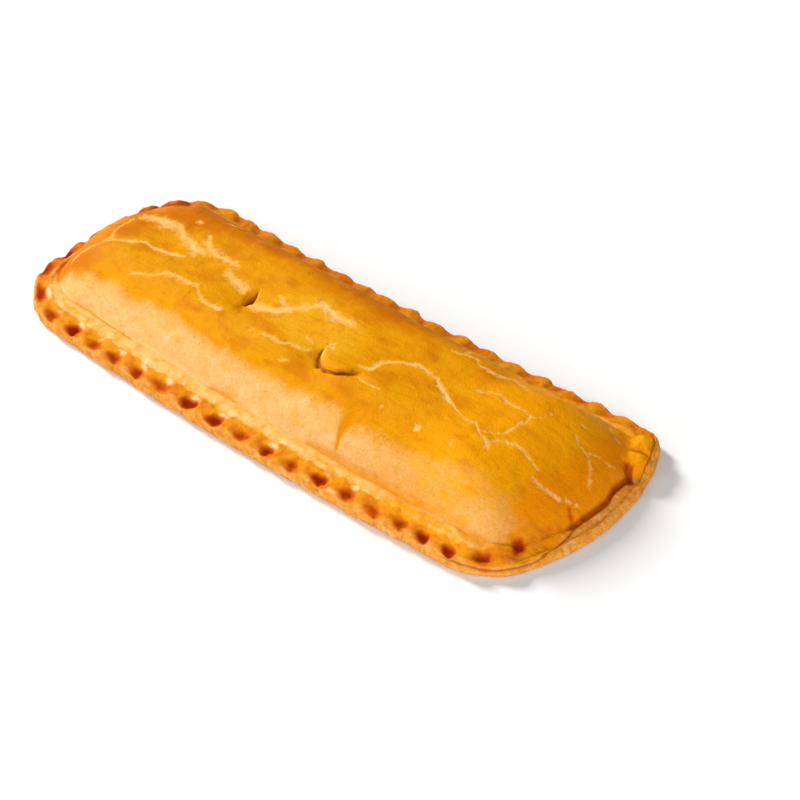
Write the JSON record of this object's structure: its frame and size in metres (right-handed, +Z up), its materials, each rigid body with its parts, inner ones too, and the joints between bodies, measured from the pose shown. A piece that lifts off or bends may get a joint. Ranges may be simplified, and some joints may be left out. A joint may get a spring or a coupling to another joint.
{
  "type": "rectangular empanada",
  "caption": "Whole baked rectangular empanada lying flat: a golden, egg-washed lid domed over the filling, steam vents in the top and a crimped rim round a flat base.",
  "frame": {"origin": "centre of the box round the part, on the flat underside that it rests on", "axes": "+X along the length, towards the end where the crimps die out; -Y towards the long side with the wide flange; +Z up"},
  "size_m": [0.2208, 0.0882, 0.0225],
  "materials": {
    "crust": "baked golden crust with a satin egg wash"
  },
  "bodies": {
    "root": {"empanada": "crust"}
  },
  "joints": []
}
